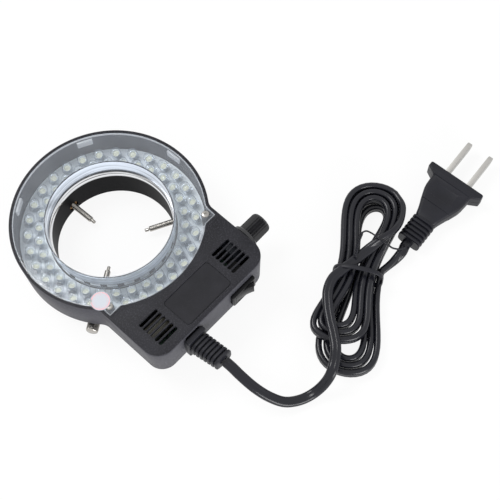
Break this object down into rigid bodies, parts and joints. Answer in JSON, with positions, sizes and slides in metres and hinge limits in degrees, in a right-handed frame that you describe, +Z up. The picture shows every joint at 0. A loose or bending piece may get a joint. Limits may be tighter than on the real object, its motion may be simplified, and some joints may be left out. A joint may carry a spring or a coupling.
{
  "type": "microscope ring light",
  "caption": "Ring-shaped lamp that clamps round a microscope lens with screws in its collar, with a dimmer knob, a rocker switch and a tied mains cord.",
  "frame": {"origin": "on the underside plane, under the middle of the bounding box of the light without its free cord", "axes": "+X from the ring to the box end, +Y to the dimmer knob, +Z up out of the lit face"},
  "size_m": [0.1894, 0.2092, 0.0302],
  "materials": {
    "shell": "fine moulded grain",
    "clear": "clear moulded plastic, polished",
    "chrome": "bright plated",
    "lamps": "clear lamp lenses on a pale board",
    "steel": "nickel plated",
    "brass": "turned",
    "knob": "satin",
    "gloss": "gloss",
    "rubber": "soft matte",
    "cord": "satin",
    "paper": "thin paper",
    "green": "lacquered board",
    "component": "dipped",
    "can": "sleeved"
  },
  "bodies": {
    "light": {"rear_housing": "shell", "clamp_collar": "shell", "box_cover": "shell", "clear_cover": "clear", "reflector_sleeve": "chrome", "led_board": "lamps", "cover_screw_1": "steel", "cover_screw_2": "steel", "seal_sticker": "paper", "screw_insert_1": "brass", "screw_insert_2": "brass", "screw_insert_3": "brass", "potentiometer_body": "steel", "potentiometer_nut": "steel", "potentiometer_washer": "steel", "switch_body": "gloss", "strain_relief": "rubber", "driver_board": "green", "input_capacitor": "component", "smoothing_capacitor": "can", "choke": "can", "rectifier": "can", "dimmer_transistor": "can", "cord_lead": "cord", "cord_hank": "cord", "cord_tail": "cord", "hank_tie": "cord", "plug_body": "rubber", "plug_pin_1": "steel", "plug_pin_2": "steel"},
    "dimmer": {"dimmer_knob": "knob", "potentiometer_shaft": "steel"},
    "rocker": {"switch_rocker": "gloss"},
    "point_1": {"screw_point_1": "steel"},
    "screw_1": {"thumbscrew_1": "steel"},
    "point_2": {"screw_point_2": "steel"},
    "screw_2": {"thumbscrew_2": "steel"},
    "point_3": {"screw_point_3": "steel"},
    "screw_3": {"thumbscrew_3": "steel"}
  },
  "joints": [
    {"name": "dimmer_turn", "type": "hinge", "parent": "light", "child": "dimmer", "pos_m": [0.03359, 0.04259, 0.01935], "axis": [0, 1, 0], "range_deg": [-150, 150]},
    {"name": "switch_rock", "type": "hinge", "parent": "light", "child": "rocker", "pos_m": [0.04989, 0.01679, 0.01935], "axis": [0, 0, 1], "range_deg": [0, 24]},
    {"name": "screw_1_travel", "type": "slide", "parent": "light", "child": "point_1", "axis": [0.9994, 0.0349, 0], "range_m": [-0.015, 0.0062]},
    {"name": "screw_1_turn", "type": "hinge", "parent": "point_1", "child": "screw_1", "pos_m": [-0.05909, -0.0028, 0.0042], "axis": [0.9994, 0.0349, 0], "range_deg": [-10800, 4464]},
    {"name": "screw_2_travel", "type": "slide", "parent": "light", "child": "point_2", "axis": [-0.4695, -0.8829, 0], "range_m": [-0.015, 0.0062]},
    {"name": "screw_2_turn", "type": "hinge", "parent": "point_2", "child": "screw_2", "pos_m": [-0.00033, 0.03391, 0.0042], "axis": [-0.4695, -0.8829, 0], "range_deg": [-10800, 4464]},
    {"name": "screw_3_travel", "type": "slide", "parent": "light", "child": "point_3", "axis": [-0.5299, 0.848, 0], "range_m": [-0.015, 0.0062]},
    {"name": "screw_3_turn", "type": "hinge", "parent": "point_3", "child": "screw_3", "pos_m": [0.00209, -0.03533, 0.0042], "axis": [-0.5299, 0.848, 0], "range_deg": [-10800, 4464]}
  ],
  "couplings": [
    {"joint": "screw_1_turn", "follows": "screw_1_travel", "rad_per_m": 12566},
    {"joint": "screw_2_turn", "follows": "screw_2_travel", "rad_per_m": 12566},
    {"joint": "screw_3_turn", "follows": "screw_3_travel", "rad_per_m": 12566}
  ]
}
